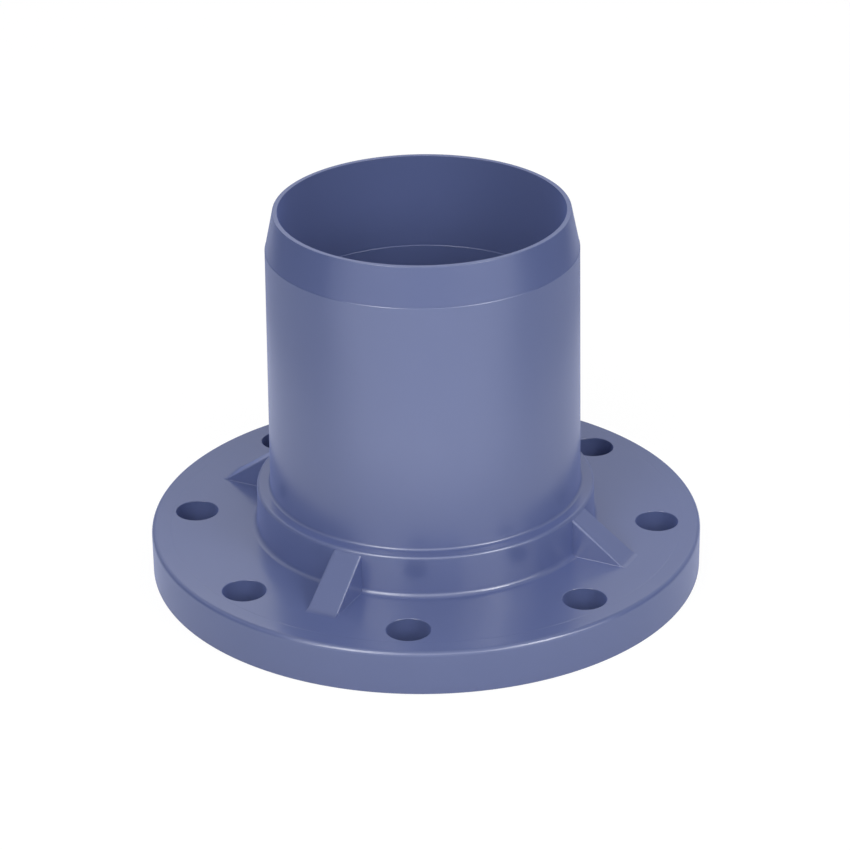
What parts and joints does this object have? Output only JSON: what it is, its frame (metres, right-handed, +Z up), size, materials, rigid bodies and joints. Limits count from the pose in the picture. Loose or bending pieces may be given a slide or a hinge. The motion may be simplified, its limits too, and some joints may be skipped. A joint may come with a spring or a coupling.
{
  "type": "spigot flange",
  "caption": "One-piece moulded plastic pipe flange with a drilled disc, a raised hub braced by gussets, and a long plain spigot with a tapered end.",
  "frame": {"origin": "centre of the sealing face, on the spigot's axis", "axes": "+Z up the spigot from the sealing face; +X and +Y each along a gusset, midway between two bolt holes"},
  "size_m": [0.285, 0.285, 0.196],
  "materials": {
    "moulded_plastic": "slate blue injection-moulded PVC-U, satin to glossy"
  },
  "bodies": {
    "root": {"spigot_flange": "moulded_plastic"}
  },
  "joints": []
}
